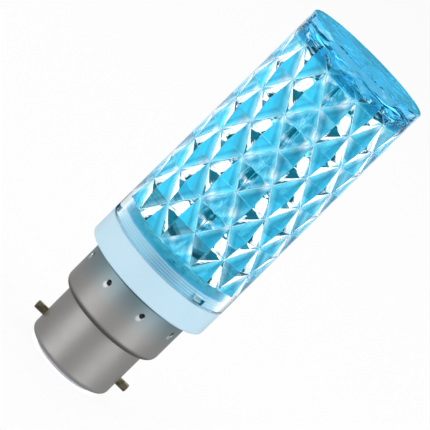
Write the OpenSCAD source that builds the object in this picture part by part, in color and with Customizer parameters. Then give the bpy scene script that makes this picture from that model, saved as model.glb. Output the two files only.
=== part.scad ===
// Decorative LED lamp with a two-pin bayonet cap, a white moulded housing and a clear cover
// whose inner wall carries a pattern of diamond facets.
// Z runs along the lamp. The contact face is at z = 0 and the cover points up. The bayonet
// pins lie on the X axis and the two contact plates on the Y axis.

/* [Cap] */
// Diameter of the narrow bayonet shell
shell_d = 22; // [21:0.1:23]
// Length of the narrow shell, end rim to shoulder
shell_len = 13; // [12:0.5:16]
// Diameter of the wide skirt
skirt_d = 26.4; // [26:0.1:29]
// Length of the skirt, shoulder to collar
skirt_len = 12.4; // [11:0.2:15]
// Thickness of the drawn sheet
cap_wall = 0.3; // [0.2:0.05:0.5]
// Outer rounding of the end rim
rim_r = 1.3; // [0.8:0.1:2]
// Outer rounding of the shoulder
shoulder_r = 1.8; // [1:0.1:2]
// Diameter of the opening in the end rim
rim_opening_d = 17.6; // [16:0.1:18]

/* [Bayonet pins] */
// Diameter of a pin
pin_d = 2; // [1.8:0.1:2.4]
// Distance over the two pin tips
pin_span = 27.3; // [25:0.1:28]
// Height of the pins over the contact face
pin_height = 5.3; // [5:0.1:7]
// Diameter of the riveted neck in the shell wall
pin_neck_d = 1.5; // [1.2:0.1:1.6]
// Diameter of the riveted head inside the shell
pin_head_d = 3; // [2.6:0.1:3.2]
// Thickness of the riveted head
pin_head_t = 0.5; // [0.3:0.1:0.8]
// Diameter of the hollow in the pin tip
pin_hollow_d = 1; // [0.6:0.1:1.2]
// Depth of the hollow in the pin tip
pin_hollow_depth = 1.4; // [0.5:0.1:2]
// Chamfer round the pin tip
pin_chamfer = 0.15; // [0.1:0.05:0.3]

/* [Punch marks] */
// Number of punch marks round the skirt
punch_count = 8; // [4:1:12]
// Diameter of a mark at the surface
punch_d = 1.5; // [1:0.1:2]
// Depth of a mark
punch_depth = 0.6; // [0.3:0.1:0.8]
// Distance from the skirt's upper edge to the marks
punch_from_edge = 3.4; // [2:0.1:5]
// Angle of the first mark
punch_turn = 15; // [0:1:44]

/* [Insulator and contacts] */
// How far the insulator stands out of the rim
insulator_proud = 1; // [0.6:0.1:1.4]
// Rounding of the insulator's outer edge
insulator_edge_r = 0.5; // [0.2:0.1:0.6]
// Thickness of the flange behind the rim
flange_t = 2.2; // [1.6:0.1:2.3]
// Distance between the contact centres
contact_pitch = 8.5; // [8:0.1:9]
// Diameter of a contact plate
contact_d = 5; // [4:0.1:5.4]
// Thickness of a contact plate
contact_t = 0.6; // [0.4:0.1:0.9]
// Diameter of the rivet tube on a contact plate
rivet_d = 2.4; // [2:0.1:3]
// Diameter of the hole in the rivet tube
rivet_hole_d = 1.2; // [1.1:0.1:1.6]
// Length of the rivet tube past the flange
rivet_past = 0.8; // [0.4:0.1:1.2]

/* [Housing] */
// Diameter of the collar, and of the cover where they meet
collar_d = 32.6; // [31:0.1:36]
// Height of the collar
collar_len = 6.6; // [5:0.2:10]
// Rounding of the collar's lower edge
collar_edge_r = 0.5; // [0.3:0.1:1.2]
// Height of the spigot that the cover slides over
spigot_len = 3; // [2.6:0.1:5]
// Wall of the spigot
spigot_wall = 1.4; // [1:0.1:2]
// Thickness of the collar's floor
floor_t = 2; // [1.2:0.1:3]
// Length of the sleeve inside the skirt
sleeve_len = 10.3; // [8:0.1:10.4]
// Wall of the sleeve
sleeve_wall = 1.4; // [1:0.1:1.6]
// Number of ribs under the LED board
rib_count = 6; // [4:2:10]
// Width of a rib
rib_w = 1.2; // [0.8:0.1:2]
// Width of a screw boss
boss_w = 4; // [3.6:0.1:4.4]
// Width of a rail that holds the driver board
rail_w = 3; // [2.4:0.1:4]
// Depth of the groove in a rail
groove_depth = 0.7; // [0.5:0.1:1]
// Height of the stop under the driver board's shoulders
rail_stop = 1; // [0.6:0.1:2]

/* [Snap catches] */
// Number of catches between housing and cover
catch_count = 3; // [2:1:6]
// Angle of the first catch
catch_turn = -54; // [-60:1:60]
// Width of a catch
catch_w = 2.6; // [2:0.1:4]
// Height of a catch
catch_h = 1.2; // [0.8:0.1:1.6]
// How far a catch stands out of the spigot
catch_depth = 0.8; // [0.4:0.1:1.2]
// Height of the catch over the collar
catch_lift = 0.6; // [0.4:0.1:1]

/* [Crystal cover] */
// Length of the cover
cover_len = 61.2; // [45:0.2:90]
// Diameter at the top
cover_top_d = 31.6; // [30:0.1:32.6]
// Wall round the spigot
cover_wall = 1.5; // [1.2:0.1:2]
// Thickness of the top at the low points of the star in its underside
crown_t = 4; // [2:0.2:6]
// Chamfer of the top edge
crown_edge = 0.25; // [0.1:0.05:0.8]
// Height of the plain band under the facets
plain_low = 5.3; // [4:0.1:8]
// Height of the band between the diamonds and the star
plain_high = 2.1; // [1:0.1:4]
// Number of diamonds from bottom to top
diamond_rows = 4; // [2:1:7]
// Number of diamonds round the cover
diamond_columns = 10; // [8:1:16]
// Angle of the first column
diamond_turn = -6; // [-18:1:18]
// Wall along the ridges, where they cross too
crossing_wall = 3.1; // [2:0.1:3.4]
// Wall at the middle of each diamond
middle_wall = 1.1; // [0.9:0.1:1.6]
// Height of the star's high points over its low points
star_rise = 1.2; // [0.4:0.1:1.8]

/* [LED board] */
// Thickness of the board
led_board_t = 1; // [0.8:0.1:1.6]
// Depth of the board's seat under the spigot's edge
led_board_seat = 1.8; // [1.4:0.1:2.4]
// Clearance of the leads in the board's middle hole
lead_hole_gap = 0.2; // [0.1:0.05:0.5]
// Number of LEDs on each side of the screws
leds_per_side = 5; // [2:1:5]
// Angle between neighbouring LEDs
led_step = 30; // [26:1:32]
// Distance of the LEDs from the board's edge
led_inset = 4.4; // [4:0.1:4.6]
// Length of an LED package
led_l = 3.5; // [3:0.1:3.6]
// Width of an LED package
led_w = 2.8; // [2:0.1:3]
// Height of an LED package
led_h = 0.8; // [0.6:0.1:1.2]
// Diameter of the cup in an LED package
led_cup_d = 2.2; // [1.6:0.1:2.4]
// Distance of the screws from the pocket's wall
screw_inset = 2.1; // [2:0.1:2.3]
// Diameter of a screw's shank
screw_d = 1.6; // [1.4:0.1:2]
// Diameter of a screw's head
screw_head_d = 3.2; // [2.8:0.1:3.4]
// Length of a screw under its head
screw_len = 5; // [3:0.5:6]

/* [Driver board] */
// Width of the board between the rails
driver_w = 18; // [17:0.1:18.4]
// Thickness of the board
driver_t = 1; // [0.8:0.1:1.6]
// Gap between the insulator and the board's lower edge
driver_gap = 4; // [3.6:0.1:5]
// Length of the board past the collar's underside
driver_past = 3; // [1:0.1:3.4]
// Length of the film capacitor
film_l = 10; // [8:0.2:11]
// Width of the film capacitor
film_w = 7.6; // [6:0.2:8]
// Height of the film capacitor over the board
film_h = 4.6; // [3:0.2:5]
// Distance between the film capacitor's leads
film_pitch = 7.5; // [7:0.1:7.6]
// Diameter of the smoothing capacitor
can_d = 6.2; // [5:0.1:6.4]
// Length of the smoothing capacitor
can_l = 11; // [10:0.2:11.4]
// Diameter of the choke
choke_d = 5.4; // [4.4:0.1:5.6]
// Height of the choke
choke_h = 6.8; // [4:0.1:7]
// Length of the resistor's body
resistor_l = 6; // [4:0.1:6.4]
// Diameter of the resistor's body
resistor_d = 2.4; // [1.8:0.1:2.6]
// Diameter of the component leads
leg_d = 0.6; // [0.5:0.05:0.8]

/* [Leads] */
// Diameter of an insulated lead
lead_d = 1.3; // [1:0.1:1.4]
// Diameter of its bare conductor
conductor_d = 0.7; // [0.5:0.1:0.9]
// Distance between the two output leads
output_pitch = 2.4; // [1.6:0.1:2.6]

/* [Fits] */
// Radial clearance between mouldings, cap and boards
fit_gap = 0.1; // [0.05:0.01:0.2]
// Radial clearance round small pins, rivets and leads
pin_gap = 0.04; // [0.02:0.01:0.1]

/* [Hidden] */
$fn = 96;
small_fn = 32;          // rings of small round pieces
cut = 0.5;              // how far a cutter runs past the face it opens
seam_chamfer = 0.15;    // broken edge on each side of the seam between collar and cover
sleeve_chamfer = 0.4;   // lead-in at the sleeve's lower edge
solder_r = 0.9;         // foot of a soldered joint
solder_h = 0.7;         // height of a soldered joint
stub = 0.15;            // how far a bare end runs into its insulation
leg_past = 0.7;         // how far a component lead runs through the board
leg_solder = 0.25;      // width of the solder round a component lead

rim_z = insulator_proud;
shoulder_z = rim_z + shell_len;
collar_z = shoulder_z + skirt_len;
cover_z = collar_z + collar_len;
spigot_z = cover_z + spigot_len;
cover_top_z = cover_z + cover_len;
flange_z = rim_z + cap_wall;
flange_top_z = flange_z + flange_t;
punch_z = collar_z - punch_from_edge;

shell_r = shell_d / 2;
shell_bore_r = shell_r - cap_wall;
skirt_r = skirt_d / 2;
skirt_bore_r = skirt_r - cap_wall;
sleeve_r = skirt_bore_r - fit_gap;
sleeve_bore_r = sleeve_r - sleeve_wall;
sleeve_z = collar_z - sleeve_len;
collar_r = collar_d / 2;
cover_bore_r = collar_r - cover_wall;
spigot_r = cover_bore_r - fit_gap;
pocket_r = spigot_r - spigot_wall;
floor_z = collar_z + floor_t;

led_board_z = spigot_z - led_board_seat;
led_z = led_board_z + led_board_t;
led_board_r = pocket_r - fit_gap;
led_ring_r = led_board_r - led_inset;
screw_ring_r = pocket_r - screw_inset;
boss_hole_d = screw_d + 2 * pin_gap;

driver_z = flange_top_z + driver_gap;
driver_top_z = collar_z + driver_past;
rail_x = driver_w / 2 + fit_gap - groove_depth;
driver_neck_w = 2 * (rail_x - fit_gap);
driver_seat_z = sleeve_z + rail_stop;
driver_face = driver_t / 2;

film_z = driver_top_z - 6;              // middle of the film capacitor and the choke
can_z = driver_z + can_d / 2 + 4.6;     // middle of the smoothing capacitor
can_gap = 0.05;                         // clearance of the can over the board
chip_z = can_z - 0.4;                   // middle of the rectifier and the driver chip
contact_pad_z = driver_z + 3;           // where the contact leads are soldered
output_pad_z = driver_top_z - 1.5;      // where the output leads are soldered
output_rise = driver_face + lead_d / 2 + 0.4;  // distance of the rising output leads from the axis
output_land = 4.4;                      // where the output leads land on the LED board
lead_hole_r = norm([output_pitch / 2, output_rise]) + lead_d / 2 + lead_hole_gap;
can_leg_x = can_l / 2 + 1.4;
can_leg_pitch = 2;
package_gap = 0.5;                      // between neighbouring parts on the board
chip_w = 4.8;
rectifier_w = 4.6;
chip_x = can_leg_x - leg_d / 2 - leg_solder - package_gap / 2 - chip_w / 2;
rectifier_x = chip_x - chip_w / 2 - package_gap - rectifier_w / 2;
resistor_x = -6.3;
resistor_z = can_z - 1.4;
resistor_span = resistor_l + 2;
resistor_gap = 0.4;                     // clearance of the resistor over the board

led_angles = [for (side = [0, 180]) for (i = [0:leds_per_side - 1])
    side + (i - (leds_per_side - 1) / 2) * led_step];
led_names = [for (i = [1:len(led_angles)]) str("led_", i)];

// ---------------------------------------------------------------- shared shapes

// Half section of a disc or tube end, from the axis to r, with its lower outer corner rounded.
module round_foot(r, z0, z1, corner) {
    translate([0, z0 + corner]) square([r, z1 - z0 - corner]);
    translate([0, z0]) square([r - corner, corner * 1.5]);
    translate([r - corner, z0 + corner]) circle(corner, $fn = small_fn);
}

// Half section of the cap's outside, moved inwards by inset.
module cap_section(inset) {
    round_foot(shell_r - inset, rim_z + inset, shoulder_z + inset + cap_wall, rim_r - inset);
    round_foot(skirt_r - inset, shoulder_z + inset, collar_z, shoulder_r - inset);
}

// Puts its children at each of count equal angles round the axis.
module around(count, turn = 0) {
    for (i = [0:count - 1]) rotate(turn + 360 * i / count) children();
}

// A round bar along +X from x0 to x1.
module bar_x(x0, x1, r, r_end) {
    translate([x0, 0, 0]) rotate([0, 90, 0])
        cylinder(h = x1 - x0, r1 = r, r2 = is_undef(r_end) ? r : r_end, $fn = small_fn);
}

// A round bar along +Y from y0 to y1.
module bar_y(y0, y1, r, r_end) {
    translate([0, y0, 0]) rotate([-90, 0, 0])
        cylinder(h = y1 - y0, r1 = r, r2 = is_undef(r_end) ? r : r_end, $fn = small_fn);
}

// A box given by its two corners.
module span(low, high) {
    translate(low) cube(high - low);
}

// ---------------------------------------------------------------- cap

// A punch mark's cone, on the skirt's outside, grown by the sheet for its inner side.
module punch_cone(grow) {
    translate([skirt_r - grow + 0.05, 0, punch_z]) rotate([0, -90, 0])
        cylinder(h = punch_depth + 0.05, r1 = punch_d / 2 + grow, r2 = 0.2 + grow, $fn = small_fn);
}

module cap_shell() {
    color("silver") difference() {
        union() {
            rotate_extrude() difference() {
                cap_section(0);
                cap_section(cap_wall);
                square([rim_opening_d / 2, flange_z + cut]);
            }
            around(punch_count, punch_turn) intersection() {
                punch_cone(cap_wall);
                cylinder(r = skirt_r - cap_wall / 2, h = collar_z);
            }
        }
        around(punch_count, punch_turn) punch_cone(0);
        translate([0, 0, pin_height])
            bar_x(-shell_r - cut, shell_r + cut, pin_neck_d / 2 + pin_gap);
    }
}

// One pin: shouldered outside the shell, riveted over inside it, hollow at its tip.
module bayonet_pin(turn) {
    color("darkgoldenrod") rotate(turn) difference() {
        union() {
            translate([0, 0, pin_height]) {
                bar_x(shell_r, pin_span / 2 - pin_chamfer, pin_d / 2);
                bar_x(pin_span / 2 - pin_chamfer, pin_span / 2, pin_d / 2, pin_d / 2 - pin_chamfer);
                bar_x(shell_bore_r - pin_head_t, shell_r, pin_neck_d / 2);
            }
            intersection() {
                translate([0, 0, pin_height])
                    bar_x(shell_bore_r - pin_head_t, shell_bore_r, pin_head_d / 2);
                cylinder(r = shell_bore_r, h = shoulder_z);
            }
        }
        translate([0, 0, pin_height])
            bar_x(pin_span / 2 - pin_hollow_depth, pin_span / 2 + cut, pin_hollow_d / 2);
    }
}

// ---------------------------------------------------------------- insulator and contacts

module cap_insulator() {
    color("ghostwhite") difference() {
        rotate_extrude() {
            round_foot(rim_opening_d / 2 - fit_gap, 0, flange_top_z, insulator_edge_r);
            round_foot(shell_bore_r - fit_gap, flange_z, flange_top_z, rim_r - cap_wall);
        }
        for (side = [-1, 1]) translate([0, side * contact_pitch / 2, 0]) {
            translate([0, 0, -cut]) cylinder(d = contact_d + 2 * pin_gap, h = contact_t + cut);
            cylinder(d = rivet_d + 2 * pin_gap, h = flange_top_z + cut, $fn = small_fn);
        }
    }
}

// Contact plate with its rivet tube. The lead goes into the tube.
module contact_plate(side) {
    color("goldenrod") translate([0, side * contact_pitch / 2, 0]) difference() {
        union() {
            cylinder(d = contact_d, h = contact_t);
            cylinder(d = rivet_d, h = flange_top_z + rivet_past, $fn = small_fn);
        }
        translate([0, 0, contact_t])
            cylinder(d = rivet_hole_d, h = flange_top_z + rivet_past, $fn = small_fn);
    }
}

// ---------------------------------------------------------------- leads

// Point on a cubic curve from a to d with handles b and c.
function curve_point(a, b, c, d, t) =
    pow(1 - t, 3) * a + 3 * t * pow(1 - t, 2) * b + 3 * t * t * (1 - t) * c + t * t * t * d;

// n + 1 points of the curve from a to d, which leaves a along dir_a and arrives along dir_d.
function curve(a, dir_a, d, dir_d, bend, n = 8) =
    [for (i = [0:n]) curve_point(a, a + bend * dir_a, d - bend * dir_d, d, i / n)];

function unit(v) = v / norm(v);

// Direction of a path at point i.
function heading(path, i) =
    unit(path[min(i + 1, len(path) - 1)] - path[max(i - 1, 0)]);

// Round tube of radius r along a path of [y, z] points in the plane x.
module swept_lead(x, path, r, sides = 12) {
    rings = len(path);
    points = [for (i = [0:rings - 1]) let (h = heading(path, i))
        for (k = [0:sides - 1]) let (a = 360 * k / sides)
        [x + r * cos(a), path[i][0] + r * sin(a) * h[1], path[i][1] - r * sin(a) * h[0]]];
    polyhedron(points, concat(
        [[for (k = [0:sides - 1]) k]],
        [for (i = [0:rings - 2]) for (k = [0:sides - 1])
            let (a = i * sides + k, b = i * sides + (k + 1) % sides)
            each [[b, a, a + sides], [b, a + sides, b + sides]]],
        [[for (k = [sides - 1:-1:0]) (rings - 1) * sides + k]]));
}

// Bare end of a lead in a cone of solder, standing along +Z with its foot at z = 0.
module soldered_end() {
    cylinder(r1 = solder_r, r2 = conductor_d / 2 + 0.1, h = solder_h - 0.1, $fn = small_fn);
    cylinder(d = conductor_d, h = solder_h + stub, $fn = small_fn);
}

// Lead from a contact's rivet tube to the driver board. turn is 0 for the rear, 180 for the front.
module contact_lead(turn) {
    tube_y = contact_pitch / 2;
    tube_top = flange_top_z + rivet_past;
    end_y = driver_face + solder_h;
    color(turn == 0 ? "royalblue" : "saddlebrown") rotate(turn) {
        translate([0, tube_y, contact_t])
            cylinder(d = conductor_d, h = tube_top - contact_t + stub, $fn = small_fn);
        swept_lead(0, concat([[tube_y, tube_top]],
            curve([tube_y, tube_top + 2 * stub], [0, 1], [end_y + 2 * stub, contact_pad_z], [-1, 0], 2.2),
            [[end_y, contact_pad_z]]), lead_d / 2);
        translate([0, driver_face, contact_pad_z]) rotate([-90, 0, 0]) soldered_end();
    }
}

// Lead from the driver board up through the LED board and over onto its pad.
module output_lead(side) {
    x = side * output_pitch / 2;
    crest = [(output_rise + output_land) / 2, led_z + 1.6];
    start_y = driver_face + solder_h;
    color(side < 0 ? "dimgray" : "white") {
        swept_lead(x, concat(
            [[start_y, output_pad_z]],
            curve([start_y + 0.1, output_pad_z], [1, 0], [output_rise, output_pad_z + 2.4], [0, 1], 0.6, 6),
            curve([output_rise, led_board_z - 1], [0, 1], crest, [1, 0], 1.4, 6),
            curve(crest + [0.3, 0], [1, 0], [output_land, led_z + solder_h + 2 * stub], [0, -1], 0.5, 5),
            [[output_land, led_z + solder_h]]), lead_d / 2);
        translate([x, driver_face, output_pad_z]) rotate([-90, 0, 0]) soldered_end();
        translate([x, output_land, led_z]) soldered_end();
    }
}

// ---------------------------------------------------------------- housing

// Half section of the moulding: sleeve, collar and spigot outside, sleeve bore and pocket inside.
module housing_section() {
    difference() {
        union() {
            round_foot(collar_r, collar_z, cover_z - seam_chamfer, collar_edge_r);
            polygon([[0, cover_z - 2 * seam_chamfer], [collar_r, cover_z - 2 * seam_chamfer],
                     [collar_r, cover_z - seam_chamfer], [collar_r - seam_chamfer, cover_z], [0, cover_z]]);
            square_ring(0, spigot_r - sleeve_chamfer, cover_z - cut, spigot_z);
            polygon([[0, cover_z - cut], [spigot_r, cover_z - cut], [spigot_r, spigot_z - sleeve_chamfer],
                     [spigot_r - sleeve_chamfer, spigot_z], [0, spigot_z]]);
            polygon([[0, sleeve_z], [sleeve_r - sleeve_chamfer, sleeve_z],
                     [sleeve_r, sleeve_z + sleeve_chamfer], [sleeve_r, collar_z + cut],
                     [0, collar_z + cut]]);
        }
        square_ring(0, sleeve_bore_r, sleeve_z - cut, floor_z + cut);
        square_ring(0, pocket_r, floor_z, spigot_z + cut);
    }
}

// Rectangle from radius r0 to r1 and height z0 to z1.
module square_ring(r0, r1, z0, z1) {
    translate([r0, z0]) square([r1 - r0, z1 - z0]);
}

// Grooved rail on the sleeve's wall for one edge of the driver board.
module rail() {
    difference() {
        intersection() {
            span([rail_x, -rail_w / 2, sleeve_z], [sleeve_r, rail_w / 2, floor_z]);
            cylinder(r = sleeve_bore_r + cut, h = floor_z);
        }
        span([rail_x - cut, -driver_face - fit_gap, driver_seat_z],
             [driver_w / 2 + fit_gap, driver_face + fit_gap, floor_z + cut]);
    }
}

// Screw boss that grows out of the pocket's wall.
module boss() {
    translate([screw_ring_r, 0, floor_z - cut])
        cylinder(d = boss_w, h = led_board_z - floor_z + cut, $fn = small_fn);
    span([screw_ring_r, -boss_w / 2, floor_z - cut], [pocket_r + cut, boss_w / 2, led_board_z]);
}

// Wedge on the spigot that a window in the cover snaps over.
module catch_wedge() {
    r_in = spigot_r - spigot_wall / 2;
    z0 = cover_z + catch_lift;
    translate([0, catch_w / 2, 0]) rotate([90, 0, 0]) linear_extrude(catch_w)
        polygon([[r_in, z0], [spigot_r + catch_depth, z0], [spigot_r + catch_depth, z0 + catch_h / 3],
                 [spigot_r, z0 + catch_h], [r_in, z0 + catch_h]]);
}

module housing() {
    color("aliceblue") difference() {
        union() {
            rotate_extrude() housing_section();
            around(rib_count)
                span([sleeve_bore_r, -rib_w / 2, floor_z - cut], [pocket_r + cut, rib_w / 2, led_board_z]);
            for (turn = [90, 270]) rotate(turn) boss();
            for (turn = [0, 180]) rotate(turn) rail();
            around(catch_count, catch_turn) catch_wedge();
        }
        for (turn = [90, 270]) rotate(turn) translate([screw_ring_r, 0, led_board_z - screw_len])
            cylinder(d = boss_hole_d, h = screw_len + cut, $fn = small_fn);
        around(punch_count, punch_turn) translate([0, 0, punch_z])
            bar_x(skirt_r - cap_wall - punch_depth - fit_gap, skirt_r, punch_d / 2 + cap_wall + fit_gap);
    }
}

// ---------------------------------------------------------------- driver board and its components

// Holes for the component leads, as [x, z] on the board.
leg_places = [
    for (side = [-1, 1]) [side * film_pitch / 2, film_z],
    for (side = [-1, 1]) [can_leg_x, can_z + side * can_leg_pitch / 2],
    for (side = [-1, 1]) [resistor_x, resistor_z + side * resistor_span / 2]
];

module driver_board() {
    color("seagreen") difference() {
        union() {
            span([-driver_w / 2, -driver_face, driver_seat_z], [driver_w / 2, driver_face, driver_top_z]);
            span([-driver_neck_w / 2, -driver_face, driver_z],
                 [driver_neck_w / 2, driver_face, driver_seat_z + cut]);
        }
        for (place = leg_places) translate([place[0], 0, place[1]])
            bar_y(-driver_t, driver_t, leg_d / 2 + pin_gap);
    }
}

// A component lead through the board, with its solder. side is the face that the component is on.
module leg(x, z, side, height) {
    translate([x, 0, z]) rotate(side < 0 ? 0 : 180) {
        bar_y(-driver_face - height, driver_face + leg_past, leg_d / 2);
        bar_y(driver_face, driver_face + leg_past - 0.1, leg_d / 2 + leg_solder, leg_d / 2 + 0.05);
    }
}

// Flat-leaded package on the board's front face.
module surface_package(x, z, body_w, body_l, body_h, leads, pitch, reach) {
    lead_w = 0.4;
    stand_off = 0.1;
    span([x - body_w / 2, -driver_face - body_h, z - body_l / 2],
         [x + body_w / 2, -driver_face - stand_off, z + body_l / 2]);
    for (end = [-1, 1]) for (i = [0:leads - 1])
        let (lx = x + (i - (leads - 1) / 2) * pitch, foot_z = z + end * (body_l + reach) / 2) {
            span([lx - lead_w / 2, -driver_face - lead_w / 2, foot_z - reach / 2],
                 [lx + lead_w / 2, -driver_face, foot_z + reach / 2]);
            span([lx - lead_w / 2, -driver_face - body_h / 2, z + (end * body_l - lead_w) / 2],
                 [lx + lead_w / 2, -driver_face, z + (end * body_l + lead_w) / 2]);
        }
}

module bridge_rectifier() {
    color([0.12, 0.12, 0.13]) surface_package(rectifier_x, chip_z, rectifier_w, 3.8, 2.4, 2, 2.5, 1);
}

module driver_chip() {
    color([0.15, 0.15, 0.16]) surface_package(chip_x, chip_z, chip_w, 3.8, 1.5, 4, 1.27, 1);
}

module film_capacitor() {
    color("indianred") {
        translate([0, -driver_face, film_z]) rotate([90, 0, 0]) linear_extrude(film_h)
            offset(0.8, $fn = small_fn) square([film_l - 1.6, film_w - 1.6], center = true);
        for (side = [-1, 1]) leg(side * film_pitch / 2, film_z, -1, film_h / 2);
    }
}

// Electrolytic can lying across the rear face, with its leads bent down into the board.
module smoothing_capacitor() {
    r = can_d / 2;
    end = can_l / 2;
    bevel = 0.3;
    groove = 0.4;
    groove_x = end - 1.1;
    y = driver_face + r + can_gap;
    color("darkslategray") {
        translate([0, y, can_z]) rotate([0, 90, 0]) rotate_extrude() polygon([
            [0, -end], [r - bevel, -end], [r, bevel - end], [r, groove_x - groove - 0.1],
            [r - groove, groove_x - groove / 2], [r - groove, groove_x + groove / 2],
            [r, groove_x + groove + 0.1], [r - bevel, end], [0, end]]);
        for (side = [-1, 1]) {
            translate([0, y, can_z + side * can_leg_pitch / 2]) bar_x(end - cut, can_leg_x, leg_d / 2);
            leg(can_leg_x, can_z + side * can_leg_pitch / 2, 1, r + can_gap + leg_d / 2);
        }
    }
}

// Drum choke standing on the rear face: two flanges and the winding between them.
module choke() {
    r = choke_d / 2;
    waist = 0.5;
    flange = 1;
    color([0.2, 0.2, 0.22]) translate([0, driver_face, film_z]) rotate([-90, 0, 0]) rotate_extrude()
        polygon([[0, 0], [r, 0], [r, flange], [r - waist, flange + 0.1],
                 [r - waist, choke_h - flange - 0.1], [r, choke_h - flange], [r, choke_h], [0, choke_h]]);
}

// Fusible resistor standing along the front face, with both leads bent into the board.
module fusible_resistor() {
    r = resistor_d / 2;
    bevel = 0.2;
    waist = 0.25;
    cap_l = resistor_l / 5;
    y = -driver_face - r - resistor_gap;
    color("seagreen") {
        translate([resistor_x, y, resistor_z - resistor_l / 2]) rotate_extrude() polygon([
            [0, 0], [r - bevel, 0], [r, bevel], [r, cap_l], [r - waist, cap_l + 0.3],
            [r - waist, resistor_l - cap_l - 0.3], [r, resistor_l - cap_l], [r, resistor_l - bevel],
            [r - bevel, resistor_l], [0, resistor_l]]);
        translate([resistor_x, y, resistor_z - resistor_span / 2])
            cylinder(d = leg_d, h = resistor_span, $fn = small_fn);
        for (side = [-1, 1])
            leg(resistor_x, resistor_z + side * resistor_span / 2, -1, -driver_face - y + leg_d / 2);
    }
}

// ---------------------------------------------------------------- LED board

module led_board() {
    color("white") difference() {
        translate([0, 0, led_board_z]) cylinder(r = led_board_r, h = led_board_t);
        translate([0, 0, led_board_z - cut]) cylinder(r = lead_hole_r, h = led_board_t + 2 * cut);
        for (turn = [90, 270]) rotate(turn) translate([screw_ring_r, 0, led_board_z - cut])
            cylinder(d = screw_d + 4 * pin_gap, h = led_board_t + 2 * cut, $fn = small_fn);
    }
}

// Two pan-head screws that hold the LED board down.
module led_board_screws() {
    head_h = screw_d * 0.6;
    color("gainsboro") for (turn = [90, 270]) rotate(turn) translate([screw_ring_r, 0, led_z]) difference() {
        union() {
            rotate_extrude($fn = small_fn)
                polygon([[0, 0], [screw_head_d / 2, 0], [screw_head_d / 2, head_h / 2],
                         [screw_head_d / 2 - 0.3, head_h], [0, head_h]]);
            translate([0, 0, led_board_t - screw_len])
                cylinder(d = screw_d, h = screw_len - led_board_t, $fn = small_fn);
        }
        for (slot = [0, 90]) rotate(slot) translate([0, 0, head_h])
            cube([screw_head_d * 0.55, screw_d * 0.22, head_h], center = true);
    }
}

// One LED package: white body with a bevelled corner and a round cup.
module led(angle) {
    corner = 0.5;
    color("whitesmoke") rotate(angle) translate([led_ring_r, 0, led_z]) difference() {
        linear_extrude(led_h) polygon([[-led_w / 2, -led_l / 2], [led_w / 2, -led_l / 2],
            [led_w / 2, led_l / 2 - corner], [led_w / 2 - corner, led_l / 2], [-led_w / 2, led_l / 2]]);
        translate([0, 0, led_h / 2])
            cylinder(r1 = led_cup_d / 2 - 0.2, r2 = led_cup_d / 2, h = led_h / 2, $fn = small_fn);
        translate([0, 0, led_h]) cylinder(d = led_cup_d, h = cut, $fn = small_fn);
    }
}

// ---------------------------------------------------------------- crystal cover

// Radius of the cover's outside at height z.
function cover_r(z) = collar_r + (cover_top_d / 2 - collar_r) * (z - cover_z) / cover_len;

ceiling_z = cover_top_z - crown_t;
facet_z0 = cover_z + plain_low;
facet_z1 = ceiling_z - plain_high;
half_rows = 2 * diamond_rows;
half_columns = 2 * diamond_columns;

// Height of facet ring i.
function ring_z(i) = facet_z0 + (facet_z1 - facet_z0) * i / half_rows;

// Point j of a ring at height z, wall under the cover's outside.
function core_point(j, z, wall) =
    let (a = diamond_turn + 360 * j / half_columns, r = cover_r(z) - wall)
    [r * cos(a), r * sin(a), z];

// Wall at point j of facet ring i: a crossing of the facet lines or the middle of a diamond.
function facet_wall(i, j) = (i + j) % 2 == 0 ? crossing_wall : middle_wall;

// The faceted hollow with the star at its top, as the core that forms it. Its foot stands a
// little way down in the plain bore.
module facet_core() {
    overlap = 0.2;
    n = half_columns;
    star_wall = (crossing_wall + middle_wall) / 2;
    points = concat(
        [for (j = [0:n - 1]) core_point(j, facet_z0 - overlap, facet_wall(0, j))],
        [for (i = [0:half_rows]) for (j = [0:n - 1]) core_point(j, ring_z(i), facet_wall(i, j))],
        [for (j = [0:n - 1]) core_point(j, ceiling_z + (j % 2) * star_rise, star_wall)],
        [[0, 0, facet_z0 - overlap], [0, 0, ceiling_z + star_rise / 2]]);
    foot = (half_rows + 3) * n;
    star_ring = (half_rows + 2) * n;
    // Split each quad along the line between its two crossings, so that the line is a crease.
    function quad(ring, j, crossing_first) =
        let (a = ring * n + j, b = ring * n + (j + 1) % n, c = a + n, d = b + n)
        crossing_first ? [[a, c, d], [a, d, b]] : [[a, c, b], [b, c, d]];
    polyhedron(points, concat(
        [for (j = [0:n - 1]) [foot, j, (j + 1) % n]],
        [for (ring = [0:half_rows + 1]) for (j = [0:n - 1])
            each quad(ring, j, (max(ring - 1, 0) + j) % 2 == 0)],
        [for (j = [0:n - 1]) [foot + 1, star_ring + (j + 1) % n, star_ring + j]]));
}

module crystal_cover() {
    color([0.35, 0.78, 0.95, 0.5]) difference() {
        rotate_extrude() polygon([
            [0, cover_z], [collar_r - seam_chamfer, cover_z], [collar_r, cover_z + seam_chamfer],
            [cover_top_d / 2, cover_top_z - crown_edge],
            [cover_top_d / 2 - crown_edge, cover_top_z], [0, cover_top_z]]);
        translate([0, 0, cover_z - cut]) cylinder(r = cover_bore_r, h = plain_low + cut);
        facet_core();
        around(catch_count, catch_turn)
            span([spigot_r, -catch_w / 2 - fit_gap, cover_z + catch_lift - fit_gap],
                 [collar_r + cut, catch_w / 2 + fit_gap, cover_z + catch_lift + catch_h + fit_gap]);
    }
}

// ---------------------------------------------------------------- nodes

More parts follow.
